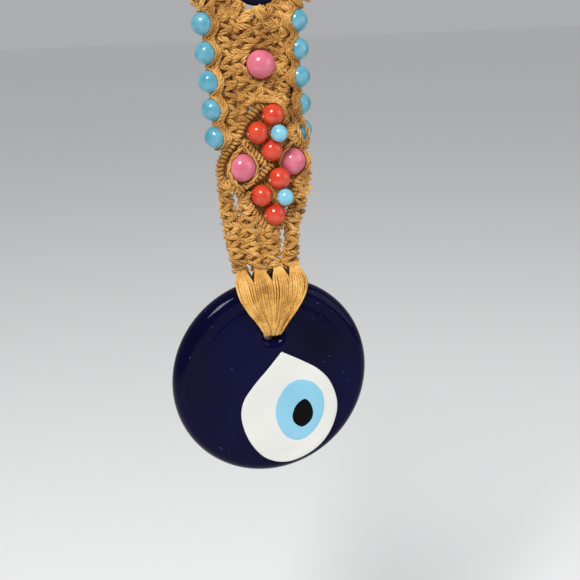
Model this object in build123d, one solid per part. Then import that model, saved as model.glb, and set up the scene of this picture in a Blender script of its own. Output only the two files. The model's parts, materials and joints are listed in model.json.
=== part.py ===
from build123d import *
import math
import os

# Evil eye hanging ornament: a knotted thread band with beads, a small glass eye set in
# the band, and a large glass eye disc hung from a fan of threads.
# Millimetres. Z is up, the front faces -Y and X runs to the viewer's right.
# The origin is the top of the hanging loop's opening, where a nail bears.

# ---------------------------------------------------------------- driving dimensions
BAND_T = 5.0             # thickness of the knotted band
SINNET_GAP = 0.3         # slit between two columns of knots
KNUCKLE_CLEAR = 0.3      # room between the two sides of a fold

LOOP_OPENING_R = 5.0     # round top of the hanging loop's opening
LOOP_CORD_R = 2.2        # thread-wrapped loop
LOOP_LEG_TURN = 28       # degrees below level where the straight legs leave the round top
LOOP_FOLD_Z = -20.0      # where the loop folds on the neck
LOOP_PIN_R = 2.4         # round foot of the loop that turns in the top of the neck
LOOP_PIN_HALF = 4.4
NECK_RX, NECK_RY = 5.2, 2.9
NECK_BOTTOM_Z = -33.0
WRAP_T = 1.1             # gathering wrap around the neck
WRAP_Z = (-31.5, -23.5)
NECK_TOP_Z = LOOP_FOLD_Z - 1.2

ARCH_MID_Z = -50.6       # middle of the opening around the small eye
ARCH_HALF_H = 14.3
ARCH_HALF_W = 11.8
NECK_SINNET_W = 2.4      # the columns are pulled narrow where they gather
NARROWING_Z = -60.0      # and start to narrow here

BAND_FOLD_Z = -90.95     # the band folds between the third and the fourth side bead
FAN_FOLD_Z = -150.5      # the thread fan folds under the last knots

SIDE_BEAD_R = 4.0
SIDE_BEAD_TOP_Z = -67.2
SIDE_BEAD_PITCH = 9.5
EDGE_INSET = 2.9         # the band's edge lies this far inside the line of the side beads
BEAD_CLEAR = 0.3         # room round a bead that turns
FOLD_SHORTER = 1.4       # the fold's round end stops short of the side bead below it
BORE_R = 0.95            # hole in every bead
BEAD_CORD_R = 0.85       # the cord that fills it
TIE_R = 0.6              # edge cord where it runs back into the band


PINK_R = 5.0
RED_R = 3.9
BLUE_R = 3.0
BLUE_BORE_R = 0.5
BLUE_CORD_R = 0.4

RIDGE_R = 1.5            # rib of half-hitch knots
RIDGE_Y = -0.5

DISC_R = 37.5
DISC_CENTRE_Z = -195.1
DISC_BACK_Y = 4.8
DISC_FRONT_Y = -5.0
DISC_RIM_R = 4.9         # half-round rim
HOLE_R = 3.75
HOLE_Z = -176.6
HOLE_FLARE = 1.1

BIGHT_R = 2.5            # bundle of threads through the disc's hole
BIGHT_Z = -175.8
FAN_INNER_R = 5.8        # inside of the thread fan, clear of the disc
FAN_SHEET_T = 1.6
FAN_CROWN_Z = -160.3

SMALL_R = 10.0           # small eye
SMALL_T = 4.0
SMALL_CENTRE_Z = -52.0
SMALL_HOLE_R = 1.1
SMALL_HOLE_Z = -45.0
SMALL_THREAD_R = 0.45
SMALL_PIVOT_Z = -38.95

LAYER_PROUD = 0.3        # glass layers of an eye stand proud of the glass under them
LAYER_DEEP = 0.8

# ---------------------------------------------------------------- beads and ribs
# centres (x, y) of each side's five beads from the top down. The band was knotted by hand and
# isn't even: it leans to the left at the top, and the last beads on the right sit behind it
SIDE_BEADS = {
    "left": [(-19.1, 0), (-18.45, 0), (-17.8, 0), (-17.15, 0), (-16.5, 0)],
    "right": [(14.0, 0), (14.2, 0), (14.4, 0), (14.9, 1.5), (15.8, 3.5)],
}
# name: (x, y, z) of the bead's centre
RED_BEADS = {
    "red_bead_1": (3.7, -2.2, -98.6),
    "red_bead_2": (-2.0, -2.2, -104.4),
    "red_bead_3": (2.9, -2.2, -110.7),
    "red_bead_4": (5.1, -3.0, -120.9),
    "red_bead_5": (-1.4, -2.2, -126.5),
    "red_bead_6": (3.2, -2.2, -133.6),
}
BLUE_BEADS = {
    "blue_bead_1": (4.5, -6.2, -104.6),
    "blue_bead_2": (6.0, -6.2, -127.1),
}
PINK_BEADS = {
    "pink_bead_left": (-8.0, -1.0, -116.2),
    "pink_bead_right": (11.2, 1.0, -115.6),
}
PINK_CENTRE = (0, -2.0, -81.2)

# name: each rib's runs as (radius, points), seen from the front
RIBS = {
    "rib_upper_left": [(RIDGE_R, [(-1.0, -96.4), (-2.6, -97.7), (-6.6, -101.3), (-10.2, -107.3),
                                  (-14.0, -111.5), (-16.0, -116.3), (-15.2, -120.4)])],
    "rib_upper_right": [(RIDGE_R, [(8.9, -100.6), (12.0, -107.8)]),
                        (0.8, [(12.0, -107.8), (16.8, -113.4), (16.9, -117.4)])],
    "rib_cross_left": [(1.3, [(-7.4, -107.5), (-1.1, -114.0), (0.2, -115.0)])],
    "rib_cross_low": [(1.3, [(1.4, -117.6), (-1.4, -119.8), (-7.5, -123.6)])],
    "rib_lower_left": [(RIDGE_R, [(-12.2, -122.0), (-6.8, -128.4), (-3.6, -133.6), (0.6, -138.6)])],
    "rib_lower_right": [(RIDGE_R, [(16.4, -119.3), (13.6, -122.5), (11.0, -126.3), (10.0, -131.2),
                                   (7.9, -136.4), (4.8, -139.2)])],
}
CROSS_CORD_R = 0.8       # plain cords behind the right pink bead
CROSS_CORD = [(9.0, -107.0), (6.3, -112.5), (4.4, -116.0)]
CROSS_CORD_Y = 2.4


# ---------------------------------------------------------------- helpers
def rod(radius, start, end):
    """Round bar between two points."""
    run = Vector(*end) - Vector(*start)
    return Plane(origin=start, z_dir=run) * Cylinder(radius, run.length,
                                                     align=(Align.CENTER, Align.CENTER, Align.MIN))


def rod_path(radius, points):
    """Round bars through a list of points, with a ball at each turn."""
    solid = rod(radius, points[0], points[1])
    for before, after in zip(points[1:], points[2:]):
        solid += Pos(*before) * Sphere(radius)
        solid += rod(radius, before, after)
    return solid


def slab(outline, thickness=BAND_T):
    """Flat piece of the band from its outline (x, z), rounded along both faces."""
    face = Plane.XZ * make_face(Polyline(*outline, close=True))
    solid = extrude(face, thickness / 2, both=True)
    return solid


def cross_bar(radius, x0, x1, z):
    """Bar along X on the band's middle plane."""
    return rod(radius, (x0, 0, z), (x1, 0, z))


def fold_end(solid, x0, x1, z):
    """Round lower end that turns in a fold."""
    return solid + cross_bar(BAND_T / 2, x0, x1, z)


def fold_seat(solid, x0, x1, z, radius=BAND_T / 2):
    """Hollow upper end that the round end turns in."""
    return solid - cross_bar(radius + KNUCKLE_CLEAR, x0 - 1, x1 + 1, z)


def bead(radius, centre, along, bore=BORE_R):
    """Round bead with a hole along a direction."""
    return Plane(origin=centre, z_dir=along) * (Sphere(radius) - Cylinder(bore, 2 * radius + 2))


def bead_centre(side, number):
    x, y = SIDE_BEADS[side][number]
    return Vector(x, y, SIDE_BEAD_TOP_Z - number * SIDE_BEAD_PITCH)


def cord_point(side, first, z):
    """Place at a height on the straight cord through a side bead and the next one below it."""
    top, below = bead_centre(side, first), bead_centre(side, first + 1)
    return top + (below - top) * ((top.Z - z) / SIDE_BEAD_PITCH)


def band_half_width(side, z):
    """How far the band reaches to one side of its middle slit, without the arch."""
    top, bottom = SIDE_BEADS[side][0][0], SIDE_BEADS[side][3][0]
    t = min(1.0, max(0.0, (SIDE_BEAD_TOP_Z - z) / (3 * SIDE_BEAD_PITCH)))
    return abs(top + (bottom - top) * t) - EDGE_INSET


def without_side_beads(solid, side):
    """Room for a side's beads cut out of the band."""
    for number in range(5):
        solid -= Pos(*bead_centre(side, number)) * Sphere(SIDE_BEAD_R + BEAD_CLEAR)
    return solid


# ---------------------------------------------------------------- hanging loop and neck
def hanging_loop():
    radius = LOOP_OPENING_R + LOOP_CORD_R
    centre_z = -LOOP_OPENING_R
    foot_z = LOOP_FOLD_Z + 1.5
    turn = math.radians(LOOP_LEG_TURN)
    leg_x = radius * math.cos(turn)
    leg_z = centre_z - radius * math.sin(turn)
    foot_x = leg_x - math.tan(turn) * (leg_z - foot_z)
    across_leg = Plane(origin=(leg_x, 0, leg_z), z_dir=(-math.sin(turn), 0, -math.cos(turn)))
    loop = revolve(across_leg * Circle(LOOP_CORD_R), Axis((0, 0, centre_z), (0, -1, 0)),
                   180 + 2 * LOOP_LEG_TURN)
    for side in (-1, 1):
        loop += rod(LOOP_CORD_R, (side * leg_x, 0, leg_z), (side * foot_x, 0, foot_z))
    loop += rod(LOOP_CORD_R, (0, 0, LOOP_FOLD_Z), (0, 0, foot_z + 1.5))
    return loop + cross_bar(LOOP_PIN_R, -LOOP_PIN_HALF, LOOP_PIN_HALF, LOOP_FOLD_Z)


def neck():
    core = Pos(0, 0, NECK_BOTTOM_Z) * extrude(Ellipse(NECK_RX, NECK_RY), NECK_TOP_Z - NECK_BOTTOM_Z)
    core = fold_seat(core, -NECK_RX, NECK_RX, LOOP_FOLD_Z, LOOP_PIN_R)
    ring = Ellipse(NECK_RX + WRAP_T, NECK_RY + WRAP_T) - Ellipse(NECK_RX, NECK_RY)
    wrap = Pos(0, 0, WRAP_Z[0]) * extrude(ring, WRAP_Z[1] - WRAP_Z[0])
    return core, wrap


# ---------------------------------------------------------------- upper band
def arch_half_width(z):
    """Half the width of the opening around the small eye at a height."""
    t = abs(z - ARCH_MID_Z) / ARCH_HALF_H
    if t >= 1:
        return 0.0
    return ARCH_HALF_W * math.cos(math.pi / 2 * t) ** 0.8


def upper_sinnet(side, outer):
    """One column of the upper band, beside the middle or at the edge."""
    steps = 26
    arch_foot_z = ARCH_MID_Z - ARCH_HALF_H
    heights = [NECK_BOTTOM_Z + (arch_foot_z - NECK_BOTTOM_Z) * i / steps for i in range(steps + 1)]
    heights += [SIDE_BEAD_TOP_Z, BAND_FOLD_Z]
    inner_side, outer_side = [], []
    sign = -1 if side == "left" else 1
    for z in heights:
        full = (band_half_width(side, z) - 1.5 * SINNET_GAP) / 2
        t = min(1.0, max(0.0, (z - NARROWING_Z) / (NECK_BOTTOM_Z - NARROWING_Z)))
        width = full + (NECK_SINNET_W - full) * t
        x = arch_half_width(z) + SINNET_GAP / 2
        if outer:
            x += width + SINNET_GAP
        inner_side.append((sign * x, z))
        outer_side.append((sign * (x + width), z))
    solid = slab(inner_side + outer_side[::-1])
    barrel_end = outer_side[-1][0] - sign * (FOLD_SHORTER if outer else 0)
    ends = sorted((inner_side[-1][0], barrel_end))
    solid = fold_end(solid, ends[0], ends[1], BAND_FOLD_Z)
    if outer:
        return without_side_beads(solid, side)
    return solid - Pos(*PINK_CENTRE) * Sphere(PINK_R + BEAD_CLEAR)


def tie(side, cord, z):
    """Short cord from the band's edge out to the bead cord."""
    sign = -1 if side == "left" else 1
    edge_x = sign * band_half_width(side, z)
    path = [(edge_x, 0, z), (cord.X, 0, z)] if cord.Y == 0 else \
        [(edge_x, 0, z), (edge_x + sign * 1.2, 0, z), (cord.X, cord.Y, z)]
    return rod_path(TIE_R, path) + Pos(*cord) * Sphere(TIE_R)


def upper_edge_cord(side):
    """Edge cord through a side's first three beads."""
    top_z = SIDE_BEAD_TOP_Z + SIDE_BEAD_R + 1.6
    start = cord_point(side, 0, top_z)
    solid = rod(BEAD_CORD_R, start, cord_point(side, 1, BAND_FOLD_Z + 1.2))
    solid += rod(TIE_R, start, cord_point(side, 1, BAND_FOLD_Z))
    heights = [top_z - TIE_R] + [SIDE_BEAD_TOP_Z - (i + 0.5) * SIDE_BEAD_PITCH for i in range(3)]
    for z in heights:
        solid += tie(side, cord_point(side, 0, z), z)
    return solid


def lower_edge_cord(side):
    """Edge cord through a side's last two beads."""
    top_z = SIDE_BEAD_TOP_Z - 3 * SIDE_BEAD_PITCH + SIDE_BEAD_R - 1.0
    bottom_z = SIDE_BEAD_TOP_Z - 4.5 * SIDE_BEAD_PITCH
    bottom = cord_point(side, 3, bottom_z)
    solid = rod(BEAD_CORD_R, cord_point(side, 3, top_z), bottom)
    solid += tie(side, cord_point(side, 3, bottom_z + SIDE_BEAD_PITCH), bottom_z + SIDE_BEAD_PITCH)
    rib_x = {"left": -12.6, "right": 13.8}[side]
    solid += rod_path(TIE_R, [(rib_x, RIDGE_Y, bottom_z), tuple(bottom)])
    return solid + Pos(*bottom) * Sphere(TIE_R)


def pink_centre_cord():
    x, y, z = PINK_CENTRE
    reach = PINK_R + 1.2
    return rod(BEAD_CORD_R, (x, y, z - reach), (x, y, z + reach))


# ---------------------------------------------------------------- small eye
def small_eye_disc():
    half = SMALL_T / 2
    profile = make_face(Plane.XY * (Polyline((0, -half), (SMALL_R - half, -half))
                                    + ThreePointArc((SMALL_R - half, -half), (SMALL_R, 0),
                                                    (SMALL_R - half, half))
                                    + Polyline((SMALL_R - half, half), (0, half), (0, -half))))
    return Pos(0, 0, SMALL_CENTRE_Z) * revolve(profile, Axis.Y)


def small_eye():
    """Glass, white, iris and pupil as discs let into each other."""
    glass = small_eye_disc() - rod(SMALL_HOLE_R, (0, -5, SMALL_HOLE_Z), (0, 5, SMALL_HOLE_Z))
    front = -SMALL_T / 2
    eye_z = SMALL_CENTRE_Z - 1.0
    stack = []
    for depth, radius in enumerate((5.3, 3.3, 1.5)):
        face = front - 0.1 * (depth + 1)
        stack.append(rod(radius, (0, face, eye_z), (0, front + 0.7 - 0.15 * depth, eye_z)))
    white, iris, pupil = stack
    return glass - white, white - iris, iris - pupil, pupil


def small_eye_thread():
    """Loop of thread through the small eye's hole and over its hanging cord."""
    top = SMALL_PIVOT_Z + TIE_R + 0.3 + SMALL_THREAD_R
    height = top - SMALL_HOLE_Z
    width = 6.4
    middle = Plane(origin=(0, 0, (top + SMALL_HOLE_Z) / 2), x_dir=(0, 1, 0), z_dir=(1, 0, 0))
    outer = RectangleRounded(width + 2 * SMALL_THREAD_R, height + 2 * SMALL_THREAD_R, 2.2)
    inner = RectangleRounded(width - 2 * SMALL_THREAD_R, height - 2 * SMALL_THREAD_R, 1.3)
    return extrude(middle * (outer - inner), SMALL_THREAD_R, both=True)


def eye_hanging_cord():
    reach = arch_half_width(SMALL_PIVOT_Z) + 0.6
    return cross_bar(TIE_R, -reach, reach, SMALL_PIVOT_Z)


# ---------------------------------------------------------------- diamond of beads
def shoulder_left():
    top_x, low_x = -band_half_width("left", BAND_FOLD_Z), -13.4
    outline = [(top_x, BAND_FOLD_Z), (-SINNET_GAP / 2, BAND_FOLD_Z), (-SINNET_GAP / 2, -95.0),
               (-3.2, -95.8), (-8.0, -100.0), (-11.6, -106.0), (low_x, -107.6)]
    solid = fold_seat(slab(outline), top_x, 0, BAND_FOLD_Z)
    return without_side_beads(solid, "left")


def shoulder_right():
    edge_x = band_half_width("right", BAND_FOLD_Z)
    outline = [(SINNET_GAP / 2, BAND_FOLD_Z), (edge_x, BAND_FOLD_Z), (edge_x, -102.6), (10.4, -99.6),
               (8.4, -96.2), (4.4, -94.4), (SINNET_GAP / 2, -94.4)]
    solid = fold_seat(slab(outline), 0, edge_x, BAND_FOLD_Z)
    return without_side_beads(solid, "right")


def rib(runs):
    solid = None
    for radius, points in runs:
        run = rod_path(radius, [(x, RIDGE_Y, z) for x, z in points])
        first, last = points[0], points[-1]
        run += Pos(first[0], RIDGE_Y, first[1]) * Sphere(radius)
        run += Pos(last[0], RIDGE_Y, last[1]) * Sphere(radius)
        solid = run if solid is None else solid + run
    return solid


def bead_cords():
    """Short cords across the diamond, one through each of its beads."""
    reach = {"red_bead_1": (4.6, 4.0), "red_bead_2": (7.0, 12.6), "red_bead_3": (5.6, 4.2),
             "red_bead_4": (5.2, 8.6), "red_bead_5": (6.0, 12.0), "red_bead_6": (5.8, 5.4),
             "pink_bead_left": (7.6, 6.4), "pink_bead_right": (5.6, 6.0)}
    cords = Part()
    for name, (x, y, z) in {**RED_BEADS, **PINK_BEADS}.items():
        left, right = reach[name]
        cords += rod(BEAD_CORD_R, (x - left, y, z), (x + right, y, z))
    for x, y, z in BLUE_BEADS.values():
        reach_x = BLUE_R + 0.7
        cords += rod_path(BLUE_CORD_R, [(x - BLUE_R - 0.3, y, z), (x + reach_x, y, z),
                                        (x + reach_x, -1.2, z)])
    return cords


def cross_cord():
    return rod_path(CROSS_CORD_R, [(x, CROSS_CORD_Y, z) for x, z in CROSS_CORD])


# ---------------------------------------------------------------- lower columns
LOWER_SINNETS = {
    "lower_sinnet_1": [(-16.2, -123.6), (-13.6, -123.9), (-8.8, -129.4), (-6.6, -132.4),
                       (-6.6, FAN_FOLD_Z), (-12.8, FAN_FOLD_Z), (-13.9, -143.0), (-15.2, -130.0)],
    "lower_sinnet_2": [(-6.3, -133.2), (-5.2, -134.6), (-0.2, -140.6), (-0.2, FAN_FOLD_Z),
                       (-6.3, FAN_FOLD_Z)],
    "lower_sinnet_3": [(0.2, -141.2), (5.4, -141.2), (5.4, -147.5), (6.2, -149.5),
                       (6.2, FAN_FOLD_Z), (0.2, FAN_FOLD_Z)],
    "lower_sinnet_4": [(16.9, -121.8), (15.9, -128.0), (14.3, -143.0), (12.8, FAN_FOLD_Z),
                       (6.6, FAN_FOLD_Z), (6.6, -140.3), (9.7, -137.2), (11.9, -131.5),
                       (12.9, -126.9), (15.4, -123.4)],
}


def lower_sinnet(outline):
    ends = [x for x, z in outline if z == FAN_FOLD_Z]
    return fold_end(slab(outline), min(ends), max(ends), FAN_FOLD_Z)


# ---------------------------------------------------------------- thread fan
def thread_fan():
    """Sheet of threads over the disc's rim, as a front and a back half."""
    outer = FAN_INNER_R + FAN_SHEET_T
    foot = -178.3
    top = FAN_FOLD_Z - 1.0
    crown = FAN_CROWN_Z
    shell = Pos(0, 0, (top + foot) / 2) * Box(28, 2 * outer, top - foot)
    shoulder = make_face(Polyline((BAND_T / 2, top), (outer + 1, top), (outer + 1, crown), (outer, crown),
                                  (outer - 1.2, crown + 4.2), (BAND_T / 2 + 1.2, top - 2.0),
                                  (BAND_T / 2, top), close=False))
    cut = extrude(Plane.YZ * shoulder, 20, both=True)
    shell = shell - cut - mirror(cut, about=Plane.XZ)
    shell -= cross_bar(FAN_INNER_R, -20, 20, crown)
    gap = crown - foot + 1
    shell -= Pos(0, 0, crown - gap / 2) * Box(40, 2 * FAN_INNER_R, gap)
    outline = [(12.8, top), (13.0, -157.0), (12.6, -163.0), (10.5, -168.0), (6.2, -174.0),
               (3.0, foot), (-3.0, foot), (-6.2, -174.0), (-10.5, -168.0), (-12.6, -163.0),
               (-13.0, -157.0), (-12.8, top)]
    shell = shell & slab(outline, 4 * outer)
    shell = fold_seat(shell, -14, 14, FAN_FOLD_Z)
    front = shell & (Pos(0, -20, -165) * Box(60, 40, 60))
    back = shell & (Pos(0, 20, -165) * Box(60, 40, 60))
    return front, back


def thread_bight():
    return rod(BIGHT_R, (0, -FAN_INNER_R, BIGHT_Z), (0, FAN_INNER_R, BIGHT_Z))


# ---------------------------------------------------------------- large eye
def disc_blank():
    """Flat glass disc with a half-round rim."""
    middle = (DISC_FRONT_Y + DISC_BACK_Y) / 2
    flat_r = DISC_R - DISC_RIM_R
    with BuildSketch() as profile:
        with BuildLine():
            Line((0, DISC_BACK_Y), (flat_r, DISC_BACK_Y))
            ThreePointArc((flat_r, DISC_BACK_Y), (DISC_R, middle), (flat_r, DISC_FRONT_Y))
            Line((flat_r, DISC_FRONT_Y), (0, DISC_FRONT_Y))
            Line((0, DISC_FRONT_Y), (0, DISC_BACK_Y))
        make_face()
    return Pos(0, 0, DISC_CENTRE_Z) * revolve(profile.sketch, Axis.Y)


def drop_outline(x, z, rx, rz, tip, lean=0.0):
    """Ellipse drawn up to a point, seen from the front."""
    body = Pos(x, z) * Rot(0, 0, lean) * Ellipse(rx, rz)
    if tip is None:
        return body
    reach = math.acos(rz / (tip[1] - z))
    side = (rx * math.sin(reach), rz * math.cos(reach))
    point = make_face(Polyline((x - side[0], z + side[1]), tip, (x + side[0], z + side[1]),
                               (x, z), close=True))
    return body + point


def eye_layer(outline, proud, deep):
    """Plate of glass let into the disc's front face."""
    back = DISC_FRONT_Y + deep
    return Pos(0, back, 0) * extrude(Plane.XZ * outline, proud + deep)


def large_eye():
    glass = disc_blank()
    glass -= rod(HOLE_R, (0, -9, HOLE_Z), (0, 9, HOLE_Z))
    for y, direction in ((DISC_FRONT_Y, 1), (DISC_BACK_Y, -1)):
        flare = Plane(origin=(0, y, HOLE_Z), z_dir=(0, direction, 0))
        glass -= flare * Cone(HOLE_R + HOLE_FLARE, HOLE_R, HOLE_FLARE,
                              align=(Align.CENTER, Align.CENTER, Align.MIN))
    white_shape = drop_outline(5.6, -209.4, 19.0, 19.5, (2.8, -184.8))
    iris_shape = drop_outline(9.3, -208.5, 9.7, 12.2, None, -3.3)
    pupil_shape = drop_outline(10.1, -210.0, 4.1, 5.2, (10.6, -204.0))
    white = eye_layer(white_shape, LAYER_PROUD, LAYER_DEEP)
    iris = eye_layer(iris_shape, LAYER_PROUD * 1.5, LAYER_DEEP / 2)
    pupil = eye_layer(pupil_shape, LAYER_PROUD * 2, 0)
    return glass - white, white - iris, iris - pupil, pupil


# ---------------------------------------------------------------- write the parts
def build():
    parts = {"hanging_loop": hanging_loop()}
    parts["neck_core"], parts["neck_wrap"] = neck()
    parts["upper_sinnet_1"], parts["upper_sinnet_2"] = upper_sinnet("left", True), upper_sinnet("left", False)
    parts["upper_sinnet_3"], parts["upper_sinnet_4"] = upper_sinnet("right", False), upper_sinnet("right", True)
    for side in SIDE_BEADS:
        parts[f"upper_edge_cord_{side}"] = upper_edge_cord(side)
        parts[f"lower_edge_cord_{side}"] = lower_edge_cord(side)
        for number in range(5):
            first = 0 if number < 3 else 3
            along = bead_centre(side, first) - bead_centre(side, first + 1)
            centre = bead_centre(side, number)
            parts[f"side_bead_{side}_{number + 1}"] = bead(SIDE_BEAD_R, centre, along)
    parts["pink_bead_centre"] = bead(PINK_R, PINK_CENTRE, (0, 0, 1))
    parts["pink_centre_cord"] = pink_centre_cord()
    parts["small_eye_glass"], parts["small_eye_white"], parts["small_eye_iris"], \
        parts["small_eye_pupil"] = small_eye()
    parts["small_eye_thread"] = small_eye_thread()
    parts["eye_hanging_cord"] = eye_hanging_cord()
    parts["shoulder_left"], parts["shoulder_right"] = shoulder_left(), shoulder_right()
    for name, runs in RIBS.items():
        parts[name] = rib(runs)
    parts["cross_cord"] = cross_cord()
    parts["bead_cords"] = bead_cords()
    for name, centre in RED_BEADS.items():
        parts[name] = bead(RED_R, centre, (1, 0, 0))
    for name, centre in PINK_BEADS.items():
        parts[name] = bead(PINK_R, centre, (1, 0, 0))
    for name, centre in BLUE_BEADS.items():
        parts[name] = bead(BLUE_R, centre, (1, 0, 0), BLUE_BORE_R)
    for name, outline in LOWER_SINNETS.items():
        parts[name] = lower_sinnet(outline)
    parts["thread_fan_front"], parts["thread_fan_back"] = thread_fan()
    parts["thread_bight"] = thread_bight()
    parts["glass_disc"], parts["eye_white"], parts["eye_iris"], parts["eye_pupil"] = large_eye()
    return parts


os.makedirs("parts", exist_ok=True)
for node, shape in build().items():
    export_step(shape, f"parts/{node}.step")
    print(f"{node:20s} {shape.volume:9.1f} mm3")
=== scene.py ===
# %% [markdown]
# # Evil eye hanging ornament
# A knotted thread band carries coloured beads and a small glass eye, and a large glass eye hangs from a
# fan of threads at its foot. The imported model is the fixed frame: it says where each piece is and what
# moves. This notebook makes what shows: real threads, knots, beads and glass. Lengths are worked out in
# millimetres and written to meshes in metres.

# %% Load the frame
import json
import math

import bmesh
import bpy
import numpy as np
from mathutils import Matrix, Vector


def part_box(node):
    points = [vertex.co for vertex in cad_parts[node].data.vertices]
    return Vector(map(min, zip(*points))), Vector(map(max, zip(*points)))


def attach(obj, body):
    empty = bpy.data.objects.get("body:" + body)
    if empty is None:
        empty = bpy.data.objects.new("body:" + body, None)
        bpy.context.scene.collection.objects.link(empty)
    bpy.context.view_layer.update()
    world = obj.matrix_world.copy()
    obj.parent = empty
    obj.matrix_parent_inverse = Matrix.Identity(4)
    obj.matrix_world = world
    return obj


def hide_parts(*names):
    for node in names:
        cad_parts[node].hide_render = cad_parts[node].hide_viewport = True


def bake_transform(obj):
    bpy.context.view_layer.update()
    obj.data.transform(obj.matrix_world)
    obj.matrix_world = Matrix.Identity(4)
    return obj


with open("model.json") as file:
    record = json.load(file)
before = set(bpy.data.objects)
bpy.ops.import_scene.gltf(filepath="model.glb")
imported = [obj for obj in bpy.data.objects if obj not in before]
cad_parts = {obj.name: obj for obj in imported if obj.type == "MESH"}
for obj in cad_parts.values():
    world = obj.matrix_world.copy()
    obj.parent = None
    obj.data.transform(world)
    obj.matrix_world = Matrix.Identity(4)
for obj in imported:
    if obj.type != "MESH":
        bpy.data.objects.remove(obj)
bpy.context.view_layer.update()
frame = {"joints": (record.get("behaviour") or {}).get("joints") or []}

MM = 0.001
rng = np.random.default_rng(7)
joints = {joint["name"]: joint for joint in frame["joints"]}


def joint_z(name):
    """Height of a joint's axis in millimetres."""
    return joints[name]["pos_m"][2] / MM


def node_box(node):
    """Lowest and highest corner of a CAD node in millimetres."""
    low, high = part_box(node)
    return np.array(low) / MM, np.array(high) / MM


def node_centre(node):
    low, high = node_box(node)
    return (low + high) / 2


LOOP_FOLD = joint_z("loop_flex")
FAN_FOLD = joint_z("fan_flex")

# %% [markdown]
# ## Camera
# The ornament is seen from its left and a little above, with a moderately long lens. The camera is a
# plain rotation matrix: its own axes are the view's right, up and back directions, turned a little about
# the line of sight.

# %% Make the camera
AZIMUTH, ELEVATION, ROLL = (math.radians(a) for a in (-17.95, 15.73, -1.86))
CAMERA_PLACE = Vector((-0.1007, -0.3373, -0.0632))
LENS = 62.0

back = Vector((math.sin(AZIMUTH) * math.cos(ELEVATION), -math.cos(AZIMUTH) * math.cos(ELEVATION),
               math.sin(ELEVATION)))
level = Vector((math.cos(AZIMUTH), math.sin(AZIMUTH), 0))
upright = back.cross(level)
right = math.cos(ROLL) * level + math.sin(ROLL) * upright
up = -math.sin(ROLL) * level + math.cos(ROLL) * upright
camera = bpy.data.objects.new("camera", bpy.data.cameras.new("camera"))
camera.data.lens = LENS
camera.data.clip_start = 0.01
camera.matrix_world = Matrix.Translation(CAMERA_PLACE) @ Matrix((right, up, back)).transposed().to_4x4()
bpy.context.scene.collection.objects.link(camera)
bpy.context.scene.camera = camera
print("camera at", tuple(CAMERA_PLACE))

# %% [markdown]
# ## Shader helpers
# Every material is built from nodes. `wire` links two sockets and `add` makes a node, so the recipes
# below read like short lists. Effects that several materials share are node groups: `fibre` gives the
# streaks and the fuzz of twisted thread, and `cast_glass` gives the faint waves, specks and wear of
# hand-poured glass.

# %% Shader helpers
def add(tree, kind, **values):
    """New node. A value is set on the input or the property of that name."""
    node = tree.nodes.new(kind)
    for name, value in values.items():
        title = name.replace("_", " ").title()
        if title in node.inputs:
            node.inputs[title].default_value = value
        else:
            setattr(node, name, value)
    return node


def wire(tree, source, target):
    tree.links.new(source, target)


def ramp(tree, factor, stops):
    """Colour ramp fed by a factor, from (place, colour) stops."""
    node = tree.nodes.new("ShaderNodeValToRGB")
    elements = node.color_ramp.elements
    while len(elements) < len(stops):
        elements.new(0.5)
    for element, (place, colour) in zip(elements, stops):
        element.position = place
        element.color = (*colour, 1.0)
    wire(tree, factor, node.inputs["Fac"])
    return node.outputs["Color"]


def new_group(name, inputs, outputs):
    """Node group with float inputs and named outputs."""
    group = bpy.data.node_groups.new(name, "ShaderNodeTree")
    for title, value in inputs.items():
        socket = group.interface.new_socket(title, in_out="INPUT", socket_type="NodeSocketFloat")
        socket.default_value = value
    for title, kind in outputs.items():
        group.interface.new_socket(title, in_out="OUTPUT", socket_type=kind)
    return group, group.nodes.new("NodeGroupInput"), group.nodes.new("NodeGroupOutput")


# %% The fibre group
def make_fibre_group():
    group, inside, out = new_group("fibre", {"Scale": 1.0, "Bump": 0.3},
                                   {"Shade": "NodeSocketFloat", "Patch": "NodeSocketFloat",
                                    "Normal": "NodeSocketVector"})
    place = add(group, "ShaderNodeTexCoord").outputs["Object"]
    fine_scale = add(group, "ShaderNodeMath", operation="MULTIPLY")
    fine_scale.inputs[1].default_value = 2600
    wire(group, inside.outputs["Scale"], fine_scale.inputs[0])
    fine = add(group, "ShaderNodeTexNoise", detail=3.0, roughness=0.6)
    wire(group, place, fine.inputs["Vector"])
    wire(group, fine_scale.outputs[0], fine.inputs["Scale"])
    patch = add(group, "ShaderNodeTexNoise", scale=140.0, detail=4.0, roughness=0.55)
    wire(group, place, patch.inputs["Vector"])
    bump = add(group, "ShaderNodeBump", distance=0.00012)
    wire(group, fine.outputs["Fac"], bump.inputs["Height"])
    wire(group, inside.outputs["Bump"], bump.inputs["Strength"])
    wire(group, fine.outputs["Fac"], out.inputs["Shade"])
    wire(group, patch.outputs["Fac"], out.inputs["Patch"])
    wire(group, bump.outputs["Normal"], out.inputs["Normal"])
    return group


FIBRE = make_fibre_group()


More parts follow.
